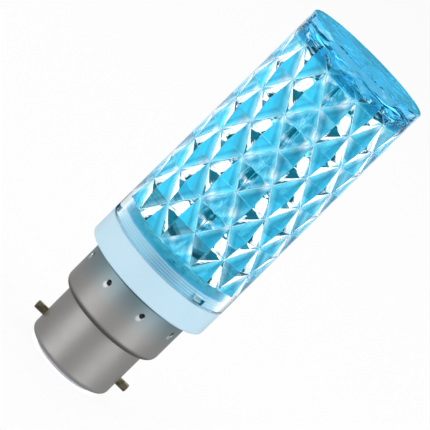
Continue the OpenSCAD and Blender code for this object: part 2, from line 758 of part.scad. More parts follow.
cap_shell();
bayonet_pin(180);  // bayonet_pin_left
bayonet_pin(0);  // bayonet_pin_right
cap_insulator();
contact_plate(-1);  // contact_plate_front
contact_plate(1);  // contact_plate_rear
contact_lead(180);  // contact_lead_front
contact_lead(0);  // contact_lead_rear
housing();
driver_board();
bridge_rectifier();
driver_chip();
film_capacitor();
smoothing_capacitor();
choke();
fusible_resistor();
output_lead(1);  // output_lead_plus
output_lead(-1);  // output_lead_minus
led_board();
led_board_screws();
crystal_cover();
for (i = [0:len(led_names) - 1])
    led(led_angles[i]);
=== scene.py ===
"""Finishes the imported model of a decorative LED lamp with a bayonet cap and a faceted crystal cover.

The CAD nodes keep their places. The cover is built again with rounded facet ridges, every other
piece gets its finish, and the stage sets the camera, the floor and the light.
"""

import math

import bmesh
import bpy
from bpy.props import FloatProperty, FloatVectorProperty, IntProperty, PointerProperty
from bpy.types import Operator, Panel, PropertyGroup
from mathutils import Matrix, Vector


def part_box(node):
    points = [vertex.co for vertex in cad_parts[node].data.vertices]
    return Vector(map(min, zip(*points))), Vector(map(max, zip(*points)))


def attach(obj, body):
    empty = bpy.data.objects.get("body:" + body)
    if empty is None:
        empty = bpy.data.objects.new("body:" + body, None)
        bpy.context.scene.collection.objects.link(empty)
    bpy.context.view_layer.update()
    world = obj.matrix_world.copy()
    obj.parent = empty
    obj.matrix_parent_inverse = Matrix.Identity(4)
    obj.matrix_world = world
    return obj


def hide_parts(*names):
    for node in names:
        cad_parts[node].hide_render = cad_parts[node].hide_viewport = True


bl_info = {
    "name": "Crystal lamp finish",
    "version": (1, 0, 0),
    "blender": (4, 5, 0),
    "location": "3D View > Sidebar > Crystal lamp",
    "description": "Crystal cover, finishes and stage for a bayonet LED lamp",
    "category": "Object",
}

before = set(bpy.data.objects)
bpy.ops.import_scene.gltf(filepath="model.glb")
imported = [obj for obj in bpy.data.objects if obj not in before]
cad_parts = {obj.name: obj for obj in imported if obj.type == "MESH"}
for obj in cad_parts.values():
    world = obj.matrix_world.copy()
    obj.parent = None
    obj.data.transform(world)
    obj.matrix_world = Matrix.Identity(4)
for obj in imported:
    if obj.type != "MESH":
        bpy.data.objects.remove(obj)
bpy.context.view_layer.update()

MM = 0.001
COVER_LOW, COVER_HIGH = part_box("crystal_cover")
CAP_LOW, CAP_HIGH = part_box("cap_shell")
CHOKE_LOW, CHOKE_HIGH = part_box("choke")
LED_BOARD_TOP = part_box("led_board")[1].z

# The cover's mesh: steps round a turned form, how far a cutter stands out of what it cuts, the
# sharpest edge that is shaded smooth, the flattest one that is rounded, and the steps of its rounding.
SEGMENTS = 240
CUT = 0.5 * MM
SMOOTH_ANGLE = math.radians(24)
ROUNDING_ANGLE = math.radians(5)
ROUNDING_STEPS = 3
MERGE_DISTANCE = 1e-6

LEAD_SLEEVES = {
    "output_lead_plus": (0.78, 0.79, 0.78),
    "output_lead_minus": (0.03, 0.03, 0.03),
    "contact_lead_front": (0.18, 0.08, 0.03),
    "contact_lead_rear": (0.02, 0.10, 0.40),
}

# The punch marks that hold the cap on the housing.
PUNCHES = 8
FIRST_PUNCH = math.radians(15)
PUNCH_Z = CAP_HIGH.z - 3.4 * MM

# Soft boxes of the studio: azimuth and elevation of the middle, half width and half height in
# degrees, and level. Glass sees the first set, with the dark camera side between its sides.
# Metal sees the second. The boxes have a soft edge, and between them lies a dark teal room for
# glass and a plain grey one for metal.
GLASS_BOXES = [
    (90, -5, 60, 60, 1.5),
    (-93, -5, 57, 60, 1.4),
    (180, 0, 30, 90, 1.0),
    (0, 55, 180, 35, 1.0),
    (0, -65, 180, 25, 1.0),
]
METAL_BOXES = [
    (-50, 5, 24, 42, 0.92),
    (48, 5, 22, 42, 0.84),
    (0, 80, 180, 20, 0.8),
    (180, 12, 30, 25, 0.9),
]
BOX_EDGE = math.radians(4)
GLASS_ROOM = (0.01, 0.13, 0.22)
METAL_ROOM = 0.36

# Area lamps: name, azimuth and elevation in degrees, size and power. All look at the same point
# from the same distance.
LAMPS = [
    ("left lamp", -60, 30, 0.5, 2.0),
    ("right lamp", 65, 25, 0.5, 2.2),
    ("top lamp", 180, 65, 0.6, 2.0),
]
LAMP_TARGET = Vector((0, 0, 0.05))
LAMP_DISTANCE = 0.8

# The camera's sensor in millimetres and its near limit, and the floor's half width and how white
# it is to the camera.
SENSOR_WIDTH = 36
CLIP_START = 0.01
FLOOR_HALF_WIDTH = 3
FLOOR_WHITE = 0.92


# ---------------------------------------------------------------- sizes and colours


def length(name, description, default):
    """A length in metres for a property group."""
    return FloatProperty(name=name, description=description, default=default, min=0, unit="LENGTH",
                         precision=5)


def bearing(name, description, default):
    """An angle in radians for a property group."""
    return FloatProperty(name=name, description=description, default=default, subtype="ANGLE")


def colour(name, description, default):
    """A colour for a property group."""
    return FloatVectorProperty(name=name, description=description, default=default, size=3, min=0, max=1,
                               subtype="COLOR")


class CoverSizes(PropertyGroup):
    """Sizes and tint of the crystal cover."""

    seam_z: length("Seam height", "Height of the seam between collar and cover", COVER_LOW.z)
    top_z: length("Top height", "Height of the cover's flat top", COVER_HIGH.z)
    foot_r: length("Foot radius", "Outer radius at the seam", COVER_HIGH.x)
    top_r: length("Top radius", "Outer radius at the top", COVER_HIGH.x - 0.5 * MM)
    bore_r: length("Bore radius", "Radius of the bore over the spigot", COVER_HIGH.x - 1.5 * MM)
    crown: length("Top thickness", "Thickness of the top at the star's low points", 4 * MM)
    plain_low: length("Lower band", "Height of the plain band under the facets", 5.3 * MM)
    plain_high: length("Upper band", "Height of the band between the diamonds and the star", 2.1 * MM)
    crossing_wall: length("Ridge wall", "Wall along the facet ridges", 3.1 * MM)
    middle_wall: length("Middle wall", "Wall at the middle of each diamond", 1.1 * MM)
    star_rise: length("Star rise", "Height of the star's high points over its low points", 1.2 * MM)
    seam_edge: length("Seam chamfer", "Broken edge at the seam", 0.15 * MM)
    top_edge: length("Top chamfer", "Broken edge of the top", 0.25 * MM)
    ridge_r: length("Ridge rounding", "Rounding of the moulded ridges", 0.12 * MM)
    rows: IntProperty(name="Rows", description="Diamonds from bottom to top", default=4, min=1)
    columns: IntProperty(name="Columns", description="Diamonds round the cover", default=10, min=4)
    turn: bearing("First column", "Angle of the first column", math.radians(-6))
    catches: IntProperty(name="Catches", description="Windows for the housing's catches", default=3, min=1)
    catch_turn: bearing("First catch", "Angle of the first catch", math.radians(-54))
    window_w: length("Window width", "Width of a catch window", 2.8 * MM)
    window_h: length("Window height", "Height of a catch window", 1.4 * MM)
    window_lift: length("Window lift", "Height of a window over the seam", 0.5 * MM)
    tint: colour("Tint", "Colour of the faceted inner wall", (0.03, 0.45, 0.69))
    skin: colour("Skin", "Colour of the smooth outer wall", (0.86, 0.955, 0.99))
    ior: FloatProperty(name="Refractive index", description="Refractive index of the clear plastic",
                       default=1.60, min=1, max=2)


class FinishColours(PropertyGroup):
    """Colours of the metal and moulded pieces."""

    nickel: colour("Nickel", "Plated cap", (0.58, 0.573, 0.56))
    bronze: colour("Bronze", "Bayonet pins", (0.30, 0.27, 0.18))
    brass: colour("Brass", "Contact plates", (0.78, 0.60, 0.30))
    insulator: colour("Insulator", "Glazed disc in the cap's end", (0.80, 0.84, 0.96))
    housing: colour("Housing", "Moulded collar and sleeve", (0.59, 0.84, 0.985))


class StageSizes(PropertyGroup):
    """Camera, floor and light."""

    distance: length("Camera distance", "Distance of the camera from the lamp's axis", 0.5)
    camera_z: length("Camera height", "Height of the camera", 0.1536)
    azimuth: bearing("Azimuth", "Where the camera stands round the lamp", math.radians(5.3))
    pitch: bearing("Pitch", "How far the camera looks down", 0.2103)
    roll: bearing("Roll", "How far the camera leans", 0.7906)
    lens: FloatProperty(name="Lens", description="Focal length", default=198.17, unit="CAMERA")
    shift_x: FloatProperty(name="Shift X", description="Sideways shift of the view", default=0.0037)
    shift_y: FloatProperty(name="Shift Y", description="Upward shift of the view", default=0.0016)
    floor_drop: length("Floor drop", "How far the floor lies under the lamp", 0.05 * MM)
    floor_hole_r: length("Floor opening", "Radius of the floor's opening under the foot", 10 * MM)
    room: FloatProperty(name="Room", description="Level of the plain light", default=0.56, min=0)


# ---------------------------------------------------------------- node trees as expressions


class Value:
    """A socket in an expression. Sums, products and powers of it add Math nodes."""

    def __init__(self, nodes, socket):
        self.nodes = nodes
        self.socket = socket

    def maths(self, operation, *values):
        """A Math node on this value and others."""
        return self.nodes.add("ShaderNodeMath", {"operation": operation}, dict(enumerate((self, *values))))

    def __add__(self, other):
        return self.maths("ADD", other)

    def __radd__(self, other):
        return self.maths("ADD", other)

    def __sub__(self, other):
        return self.maths("SUBTRACT", other)

    def __rsub__(self, other):
        return self.nodes.add("ShaderNodeMath", {"operation": "SUBTRACT"}, {0: other, 1: self})

    def __mul__(self, other):
        return self.maths("MULTIPLY", other)

    def __rmul__(self, other):
        return self.maths("MULTIPLY", other)

    def __truediv__(self, other):
        return self.maths("DIVIDE", other)

    def __pow__(self, other):
        return self.maths("POWER", other)

    def __mod__(self, other):
        return self.maths("FLOORED_MODULO", other)

    def above(self, edge):
        """1 where this is more than the edge."""
        return self.maths("GREATER_THAN", edge)

    def below(self, edge):
        """1 where this is less than the edge."""
        return self.maths("LESS_THAN", edge)

    def ramp(self, low, high):
        """Rises smoothly from 0 at low to 1 at high."""
        return self.nodes.add("ShaderNodeMapRange", {"interpolation_type": "SMOOTHSTEP"},
                              {"Value": self, "From Min": low, "From Max": high})

    def band(self, low, full_low, full_high, high):
        """Rises smoothly to 1 and falls back to 0."""
        return self.ramp(low, full_low) * (1 - self.ramp(full_high, high))


class Nodes:
    """A node tree that is filled by calls."""

    def __init__(self, tree):
        self.tree = tree
        tree.nodes.clear()

    def add(self, kind, settings=None, sockets=None, output=0):
        """Adds a node: its settings, then the values or links of its sockets, where a list is several
        links. Returns one output."""
        node = self.tree.nodes.new(kind)
        for name, value in (settings or {}).items():
            if name == "items":
                while len(node.index_switch_items) < value:
                    node.index_switch_items.new()
            else:
                setattr(node, name, value)
        for name, value in (sockets or {}).items():
            links = [value] if isinstance(value, Value) else value
            if isinstance(links, list):
                for source in links:
                    self.tree.links.new(source.socket, node.inputs[name])
            else:
                node.inputs[name].default_value = value
        return Value(self, node.outputs[output]) if node.outputs else None

    def mix(self, factor, first, second):
        """Mixes two colours."""
        return self.add("ShaderNodeMix", {"data_type": "RGBA"},
                        {0: factor, 6: as_colour(first), 7: as_colour(second)}, output=2)

    def noise(self, vector, scale, detail=3.0, roughness=0.5):
        """Soft noise between 0 and 1."""
        return self.add("ShaderNodeTexNoise", None,
                        {"Vector": vector, "Scale": scale, "Detail": detail, "Roughness": roughness})

    def place(self, scale=(1, 1, 1)):
        """Object coordinates, scaled."""
        coords = self.add("ShaderNodeTexCoord", output="Object")
        return self.add("ShaderNodeMapping", None, {"Vector": coords, "Scale": scale})

    def parts(self, vector):
        """The three numbers of a vector."""
        node = self.add("ShaderNodeSeparateXYZ", None, {0: vector}).socket.node
        return [Value(self, node.outputs[i]) for i in range(3)]

    def rays(self, *names):
        """Which kinds of ray the shader is seen by, as numbers 0 or 1."""
        path = self.add("ShaderNodeLightPath").socket.node
        return [Value(self, path.outputs[name]) for name in names]

    def bump(self, height, distance, strength=1.0):
        """A Bump node's normal."""
        return self.add("ShaderNodeBump", None,
                        {"Height": height, "Distance": distance, "Strength": strength})


def as_colour(value):
    """A colour with its fourth number, or a link as it is."""
    return value if isinstance(value, Value) or len(value) == 4 else (*value, 1)


def darker(value, factor):
    """A colour times a factor."""
    return tuple(factor * c for c in value)


def span(first, second):
    """How far a point with these two coordinates is from the origin."""
    return (first * first + second * second) ** 0.5


def new_material(name):
    """An empty material and its nodes."""
    material = bpy.data.materials.new(name)
    material.use_nodes = True
    return material, Nodes(material.node_tree)


def principled(name, build, **constants):
    """A material of one Principled shader. build gives the sockets that change over the surface."""
    material, nodes = new_material(name)
    sockets = {key.replace("_", " "): value for key, value in constants.items()}
    sockets.update(build(nodes))
    shader = nodes.add("ShaderNodeBsdfPrincipled", None, sockets)
    nodes.add("ShaderNodeOutputMaterial", None, {"Surface": shader})
    return material


# ---------------------------------------------------------------- finishes


def nickel_finish(colours):
    """Satin nickel plate: soft drawing marks, faint stains, painted shade in the shoulder's hollow, the
    cover's cyan light painted near the collar, a painted shadow under the collar, and punch marks with
    painted shade inside and a painted highlight beside."""
    outer_r, top = CAP_HIGH.x, CAP_HIGH.z
    shoulder = [CAP_LOW.z + height * MM for height in (12.7, 13.1, 13.8, 14.7)]
    sector = 2 * math.pi / PUNCHES
    highlight_aside, highlight_down = 0.3 * MM, 0.8 * MM
    stain, tarnish_and_shade = (0.32, 0.30, 0.27), (0.17, 0.155, 0.14)
    lit_by_cover, collar_shadow = (0.29, 0.46, 0.52), (0.05, 0.13, 0.15)
    punch_highlight, pit_shade = (0.98, 0.98, 0.98), (0.08, 0.09, 0.09)

    def build(nodes):
        place = nodes.place()
        x, y, z = nodes.parts(place)
        drawn = nodes.noise(nodes.place(scale=(900, 900, 30)), 1.0, detail=4)
        cloud = nodes.noise(place, 110, detail=3, roughness=0.55)
        speck = nodes.noise(place, 1400, detail=2)
        dull = cloud.ramp(0.35, 0.7)
        base = nodes.mix(dull * 0.35, colours.nickel, darker(colours.nickel, 0.82))
        base = nodes.mix(speck.ramp(0.68, 0.8) * 0.25, base, stain)
        base = nodes.mix(z.ramp(top - 9 * MM, top) * 0.85, base, lit_by_cover)
        # Painted shade in the concave shoulder between shell and skirt.
        base = nodes.mix(z.band(*shoulder) * 0.85, base, tarnish_and_shade)
        turn = (y.maths("ARCTAN2", x) - FIRST_PUNCH + sector / 2) % sector - sector / 2
        # A painted highlight beside each punch mark.
        highlight_reach = span(turn * outer_r + highlight_aside, z - PUNCH_Z + highlight_down)
        highlight_mask = 1 - highlight_reach.ramp(0.3 * MM, 1.0 * MM)
        base = nodes.mix(highlight_mask * 0.9, base, punch_highlight)
        # Painted shade inside each punch mark.
        pit = span(x, y).below(outer_r - 0.12 * MM) * z.above(PUNCH_Z - 1 * MM) * z.below(PUNCH_Z + 1 * MM)
        base = nodes.mix(pit, base, pit_shade)
        # Painted shadow of the collar's overhang, as a thin line under it.
        base = nodes.mix(z.ramp(top - 1.1 * MM, top - 0.8 * MM), base, collar_shadow)
        return {
            "Base Color": base,
            "Roughness": 0.37 + 0.10 * dull + 0.05 * drawn,
            "Normal": nodes.bump(drawn * 0.5 + cloud * 0.5, 0.00002, 0.35),
        }

    return principled("cap_nickel", build, Metallic=1.0)


def bronze_finish(colours):
    """Dark, tarnished pin metal, brighter where it is worn."""
    tarnish_and_shade = (0.10, 0.085, 0.06)

    def build(nodes):
        cloud = nodes.noise(nodes.place(), 700, detail=5, roughness=0.65)
        base = nodes.mix(cloud.ramp(0.4, 0.75), colours.bronze, tarnish_and_shade)
        return {
            "Base Color": base,
            "Roughness": 0.20 + 0.2 * cloud,
            "Normal": nodes.bump(cloud, 0.00003, 0.4),
        }

    return principled("pin_bronze", build, Metallic=1.0)


def brass_finish(colours):
    """Brass contact plates with fine turning rings."""
    stain = (0.42, 0.30, 0.13)

    def build(nodes):
        place = nodes.place()
        rings = nodes.add("ShaderNodeTexWave", {"wave_type": "RINGS", "rings_direction": "Z"},
                          {"Vector": place, "Scale": 900, "Distortion": 1.0})
        cloud = nodes.noise(place, 500, detail=4)
        return {
            "Base Color": nodes.mix(cloud.ramp(0.45, 0.8) * 0.5, colours.brass, stain),
            "Roughness": 0.25 + 0.2 * cloud,
            "Normal": nodes.bump(rings, 0.00001, 0.5),
        }

    return principled("contact_brass", build, Metallic=1.0)


def glazed_finish(colours):
    """Pale glazed insulator."""
    shade = (0.74, 0.76, 0.86)

    def build(nodes):
        cloud = nodes.noise(nodes.place(), 300, detail=4)
        return {
            "Base Color": nodes.mix(cloud.ramp(0.3, 0.8) * 0.4, colours.insulator, shade),
            "Roughness": 0.22 + 0.1 * cloud,
            "Normal": nodes.bump(cloud, 0.00002, 0.3),
        }

    return principled("insulator_glaze", build, IOR=1.5)


def moulded_finish(colours):
    """Pale moulded plastic with a faint orange peel, and fine rings round the spigot painted as darker
    lines of shade on the pale spigot.
    """
    seam = COVER_LOW.z + 0.05 * MM
    ring = 0.62 * MM
    spigot_pale, ring_shade = (0.82, 0.94, 0.99), (0.38, 0.69, 0.90)
    collar_cloud = (0.66, 0.88, 0.985)

    def build(nodes):
        place = nodes.place()
        z = nodes.parts(place)[2]
        peel = nodes.noise(place, 900, detail=2)
        cloud = nodes.noise(place, 60, detail=3)
        patch = nodes.noise(place, 130, detail=1).ramp(0.35, 0.6)
        # Painted shade lines standing for fine rings round the spigot.
        ring_shade_mask = (((z - seam) / ring) % 1.0).band(0.25, 0.45, 0.75, 0.95) * (0.35 + 0.65 * patch)
        spigot = nodes.mix(ring_shade_mask, spigot_pale, ring_shade)
        collar = nodes.mix(cloud.ramp(0.3, 0.7) * 0.4, colours.housing, collar_cloud)
        return {
            "Base Color": nodes.mix(z.above(seam), collar, spigot),
            "Roughness": 0.30 + 0.06 * peel,
            "Normal": nodes.bump(peel, 0.00001, 0.25),
        }

    return principled("housing_white", build, IOR=1.5)


def inner_tint(nodes, sizes, cloud, depth, z):
    """Cyan of the faceted wall, with a painted sheen that makes it paler at a slant, and a painted
    highlight along each ridge with a line of painted shade beside it. Over the spigot the wall is nearly
    clear."""
    ridge = sizes.crossing_wall - 0.05 * MM
    spigot_top = sizes.seam_z + 3 * MM
    ridge_shade_line, over_spigot = (0.0, 0.16, 0.28), (0.80, 0.93, 0.98)
    # Painted sheen: the wall turns paler where it is seen at a slant.
    slant = nodes.add("ShaderNodeLayerWeight", None, {"Blend": 0.5}, output=1)
    tint = nodes.mix(cloud.ramp(0.3, 0.7) * 0.2, sizes.tint, darker(sizes.tint, 0.96))
    tint = nodes.mix(slant.ramp(0.40, 0.80), tint, sizes.skin)
    # A painted highlight along each ridge, faint over a wide band and strong on the ridge, and a line of
    # painted shade beside it.
    tint = nodes.mix(depth.ramp(ridge - 1.1 * MM, ridge) * 0.12, tint, sizes.skin)
    beside = depth.band(ridge - 0.75 * MM, ridge - 0.55 * MM, ridge - 0.4 * MM, ridge - 0.25 * MM)
    tint = nodes.mix(beside * 0.55, tint, ridge_shade_line)
    tint = nodes.mix(depth.ramp(ridge - 0.25 * MM, ridge) * 0.85, tint, sizes.skin)
    return nodes.mix(z.ramp(spigot_top - 0.3 * MM, spigot_top + 0.2 * MM), over_spigot, tint)


def outer_skin(nodes, sizes, crown, ceiling, z):
    """Nearly clear wall, cyan round the thick top, with pale patches in it and a dark band under it."""
    top_cyan, patch, band = (0.09, 0.47, 0.77), (0.55, 0.85, 0.97), (0.0, 0.26, 0.42)
    skin = nodes.mix(z.ramp(ceiling - 1.5 * MM, ceiling), sizes.skin, top_cyan)
    pale = nodes.noise(nodes.place(scale=(1, 1, 2)), 330, detail=1).ramp(0.58, 0.70) * crown
    skin = nodes.mix(pale, skin, patch)
    belt = z.band(ceiling - 1.7 * MM, ceiling - 1.2 * MM, ceiling - 0.5 * MM, ceiling + 0.1 * MM)
    return nodes.mix(belt * 0.75, skin, band)


def crystal_finish(sizes):
    """Clear plastic: the faceted inner wall is tinted, the smooth outer wall nearly clear."""
    ceiling = sizes.top_z - sizes.crown
    slope = (sizes.top_r - sizes.foot_r) / (sizes.top_z - sizes.seam_z)
    window = sizes.seam_z + sizes.window_lift
    edge = 0.1 * MM
    window_shadow, glow = (0.0, 0.10, 0.16), (0.0, 0.040, 0.062)

    def build(nodes):
        place = nodes.place()
        x, y, z = nodes.parts(place)
        cloud = nodes.noise(place, 40, detail=2)
        depth = (sizes.foot_r + (z - sizes.seam_z) * slope) - span(x, y)
        under_top = sizes.top_z - sizes.top_edge - edge
        inside = depth.ramp(0.2 * MM, 0.5 * MM) * z.below(under_top)
        top = z.above(under_top)
        crown = z.ramp(ceiling - 0.5 * MM, ceiling + 0.5 * MM)
        ripple = nodes.noise(place, 260, detail=0) * crown * (1 - top * 0.92)
        # Painted shadow on the sides of the catch windows.
        cut = z.above(window - edge) * z.below(window + sizes.window_h + edge)
        cut = cut * depth.above(edge / 2) * depth.below(sizes.foot_r - sizes.bore_r - edge / 2)
        wall = nodes.mix(inside, outer_skin(nodes, sizes, crown, ceiling, z),
                         inner_tint(nodes, sizes, cloud, depth, z))
        return {
            "Base Color": nodes.mix(cut, wall, window_shadow),
            "Roughness": 0.004 * cloud,
            "Normal": nodes.bump(ripple, 0.0008, 0.5),
            # A faint painted cyan glow in the faceted wall.
            "Emission Color": nodes.mix(inside, (0, 0, 0), glow),
            "Coat Weight": top,
        }

    return principled("crystal_clear", build, Transmission_Weight=1.0, IOR=sizes.ior, Emission_Strength=1.0,
                      Coat_IOR=1.0, Coat_Tint=(0.79, 0.955, 0.99, 1), Specular_Tint=(0.2, 0.8, 0.96, 1))


def board_finish(name, mask, copper, pitch):
    """Solder mask over broken copper tracks at an even pitch."""

    def build(nodes):
        place = nodes.place()
        track = ((nodes.parts(place)[0] / pitch) % 1.0).band(0.30, 0.36, 0.64, 0.70)
        track = track * nodes.noise(place, 260, detail=0).ramp(0.48, 0.52)
        weave = nodes.noise(place, 2500, detail=1)
        return {
            "Base Color": nodes.mix(track, mask, copper),
            "Roughness": 0.35 + 0.1 * weave,
            "Normal": nodes.bump(track + weave * 0.2, 0.00003, 0.5),
        }

    return principled(name, build, IOR=1.5)


def plain_finish(name, base, worn, roughness=0.4, scale=500, metallic=0.0):
    """A moulded or coated surface: two near colours in clouds, with fine grain."""

    def build(nodes):
        place = nodes.place()
        cloud = nodes.noise(place, scale, detail=4)
        grain = nodes.noise(place, scale * 8, detail=1)
        return {
            "Base Color": nodes.mix(cloud.ramp(0.35, 0.75), base, worn),
            "Roughness": roughness + 0.12 * (grain - 0.5),
            "Normal": nodes.bump(grain, 0.00001, 0.3),
        }

    return principled(name, build, Metallic=metallic, IOR=1.5)


def winding_finish():
    """Enamelled copper turns of the choke between two dark flanges."""
    flange = 1.05 * MM
    wire = 0.35 * MM
    ferrite, enamel, turn_shade = (0.035, 0.035, 0.04), (0.55, 0.20, 0.06), (0.16, 0.05, 0.02)

    def build(nodes):
        place = nodes.place()
        y = nodes.parts(place)[1]
        wound = y.above(CHOKE_LOW.y + flange) * y.below(CHOKE_HIGH.y - flange)
        turns = ((y / wire) % 1.0 - 0.5).maths("ABSOLUTE")
        cloud = nodes.noise(place, 600, detail=3)
        # Painted shade between the turns.
        coil = nodes.mix(turns.ramp(0.3, 0.5), enamel, turn_shade)
        return {
            "Base Color": nodes.mix(wound, ferrite, coil),
            "Roughness": 0.5 - 0.2 * wound + 0.1 * cloud,
            "Normal": nodes.bump(turns * wound * -1.0, 0.00008, 0.6),
        }

    return principled("choke_winding", build, IOR=1.5)


def led_finish():
    """White package with yellow phosphor filling its cup."""
    cup_top = LED_BOARD_TOP + 0.45 * MM
    package, phosphor = (0.86, 0.86, 0.84), (0.88, 0.62, 0.12)

    def build(nodes):
        place = nodes.place()
        height = nodes.parts(place)[2]
        upward = nodes.parts(nodes.add("ShaderNodeNewGeometry", output="Normal"))[2]
        cup = height.below(cup_top) * upward.above(0.5)
        grain = nodes.noise(place, 3000, detail=1)
        return {
            "Base Color": nodes.mix(cup, package, phosphor),
            "Roughness": 0.4 + 0.1 * grain,
        }

    return principled("led_package", build, IOR=1.5)


# ---------------------------------------------------------------- meshes


def link(name, mesh):
    """A new object of this mesh in the scene."""
    piece = bpy.data.objects.new(name, mesh)
    bpy.context.scene.collection.objects.link(piece)
    return piece


def tree_with_inputs(name, inputs, geometry_in=False):
    """A geometry node tree with named inputs, and those inputs as values."""
    tree = bpy.data.node_groups.new(name, "GeometryNodeTree")
    if geometry_in:
        tree.interface.new_socket("Geometry", in_out="INPUT", socket_type="NodeSocketGeometry")
    for label, kind in inputs.items():
        tree.interface.new_socket(label, in_out="INPUT", socket_type="NodeSocket" + kind)
    tree.interface.new_socket("Geometry", in_out="OUTPUT", socket_type="NodeSocketGeometry")
    nodes = Nodes(tree)
    entry = nodes.add("NodeGroupInput").socket.node
    return nodes, {socket.name: Value(nodes, socket) for socket in entry.outputs if socket.name}


def set_inputs(modifier, values):
    """Sets a modifier's inputs by their sockets' identifiers."""
    for item in modifier.node_group.interface.items_tree:
        if item.item_type == "SOCKET" and item.in_out == "INPUT" and item.name in values:
            modifier[item.identifier] = values[item.name]


def grid_of(nodes, steps, rings):
    """A grid to turn round Z, and the column and row that each of its points is in."""
    grid = nodes.add("GeometryNodeMeshGrid", None, {"Vertices X": steps + 1, "Vertices Y": rings})
    index = nodes.add("GeometryNodeInputIndex")
    column = ((index + 0.5) / rings).maths("FLOOR")
    return grid, column, index - column * rings


def lathe(nodes, outline):
    """Turns an outline of (radius, height) values round Z. It starts and ends on the axis."""
    rings = len(outline)
    grid, column, row = grid_of(nodes, SEGMENTS, rings)
    radius, height = (nodes.add("GeometryNodeIndexSwitch", {"data_type": "FLOAT", "items": rings},
                                dict(enumerate((row, *values)))) for values in zip(*outline))
    return turned(nodes, grid, radius, column * (2 * math.pi) / SEGMENTS, height)


def polar(nodes, radius, angle, height):
    """A point at a radius, angle and height."""
    return nodes.add("ShaderNodeCombineXYZ", None,
                     {0: radius * angle.maths("COSINE"), 1: radius * angle.maths("SINE"), 2: height})


def turned(nodes, mesh, radius, angle, height):
    """Puts a grid's points at a radius, angle and height, and closes its seam."""
    moved = nodes.add("GeometryNodeSetPosition", None,
                      {"Geometry": mesh, "Position": polar(nodes, radius, angle, height)})
    return nodes.add("GeometryNodeMergeByDistance", None, {"Geometry": moved, "Distance": MERGE_DISTANCE})


def facet_core_tree():
    """The faceted hollow with the star at its top, as the core that forms it. Its rows are the axis
    and a skirt below the facets (-2 and -1), the facets' rings (0 to last), and the star's rim and
    the axis above them."""
    nodes, size = tree_with_inputs("facet_core", {
        "Seam height": "Float", "Top height": "Float", "Foot radius": "Float", "Top radius": "Float",
        "Lower facets": "Float", "Upper facets": "Float", "Ceiling": "Float", "Star rise": "Float",
        "Ridge wall": "Float", "Middle wall": "Float", "Rows": "Int", "Columns": "Int",
        "First column": "Float"})
    overlap = 0.2 * MM
    rows_below, rows_above = 2, 2
    last = size["Rows"] * 2
    rings = last + (rows_below + 1 + rows_above)
    steps = size["Columns"] * 2
    grid, column, row = grid_of(nodes, steps, rings)
    row = row - rows_below
    ring = row.maths("MAXIMUM", 0).maths("MINIMUM", last)
    star = row.above(last + 0.5)
    on_axis = (row - ring).maths("ABSOLUTE").above(1.5)
    odd = (column % 2.0).above(0.5)
    star_height = size["Ceiling"] + size["Star rise"] * (odd + (0.5 - odd) * on_axis)
    height = size["Lower facets"] + (size["Upper facets"] - size["Lower facets"]) * ring / last
    height = height - row.below(-0.5) * overlap
    height = height + (star_height - height) * star
    outer = size["Foot radius"] + (size["Top radius"] - size["Foot radius"]) * (
        height - size["Seam height"]) / (size["Top height"] - size["Seam height"])
    middle = ((ring + column) % 2.0).above(0.5)
    middle = middle + (0.5 - middle) * star
    wall = size["Ridge wall"] + (size["Middle wall"] - size["Ridge wall"]) * middle
    angle = size["First column"] + column * (2 * math.pi) / steps
    core = turned(nodes, grid, (outer - wall) * (1 - on_axis), angle, height)
    place = nodes.add("GeometryNodeInputPosition")
    in_star = nodes.parts(place)[2].above(size["Upper facets"])
    for method, part in (("SHORTEST_DIAGONAL", 1 - in_star), ("LONGEST_DIAGONAL", in_star)):
        core = nodes.add("GeometryNodeTriangulate", {"quad_method": method},
                         {"Mesh": core, "Selection": part})
    nodes.add("NodeGroupOutput", None, {0: core})
    return nodes.tree


def cover_tree():
    """Outer turned form less the core, the bore and the catch windows."""
    nodes, size = tree_with_inputs("cover_wall", {
        "Seam height": "Float", "Top height": "Float", "Foot radius": "Float", "Top radius": "Float",
        "Seam chamfer": "Float", "Top chamfer": "Float", "Bore radius": "Float", "Lower facets": "Float",
        "Windows": "Int", "First window": "Float", "Window width": "Float", "Window height": "Float",
        "Window lift": "Float", "Material": "Material"}, geometry_in=True)
    low, high = size["Seam height"], size["Top height"]
    outer = lathe(nodes, [
        (0.0, low), (size["Foot radius"] - size["Seam chamfer"], low),
        (size["Foot radius"], low + size["Seam chamfer"]), (size["Top radius"], high - size["Top chamfer"]),
        (size["Top radius"] - size["Top chamfer"], high), (0.0, high)])
    bore = lathe(nodes, [(0.0, low - CUT), (size["Bore radius"], low - CUT),
                         (size["Bore radius"], size["Lower facets"]), (0.0, size["Lower facets"])])
    wall = nodes.add("GeometryNodeMeshBoolean", {"operation": "DIFFERENCE", "solver": "MANIFOLD"},
                     {0: outer, 1: [size["Geometry"], bore, window_ring(nodes, size)]})
    angle = nodes.add("GeometryNodeInputMeshEdgeAngle")
    smooth = nodes.add("GeometryNodeSetShadeSmooth", {"domain": "EDGE"},
                       {"Geometry": wall, "Selection": angle.below(SMOOTH_ANGLE), "Shade Smooth": True})
    sharp = nodes.add("GeometryNodeSetShadeSmooth", {"domain": "EDGE"},
                      {"Geometry": smooth, "Selection": angle.above(SMOOTH_ANGLE), "Shade Smooth": False})
    real = nodes.add("GeometryNodeRealizeInstances", None, {0: sharp})
    done = nodes.add("GeometryNodeSetMaterial", None, {"Geometry": real, "Material": size["Material"]})
    nodes.add("NodeGroupOutput", None, {0: done})
    return nodes.tree


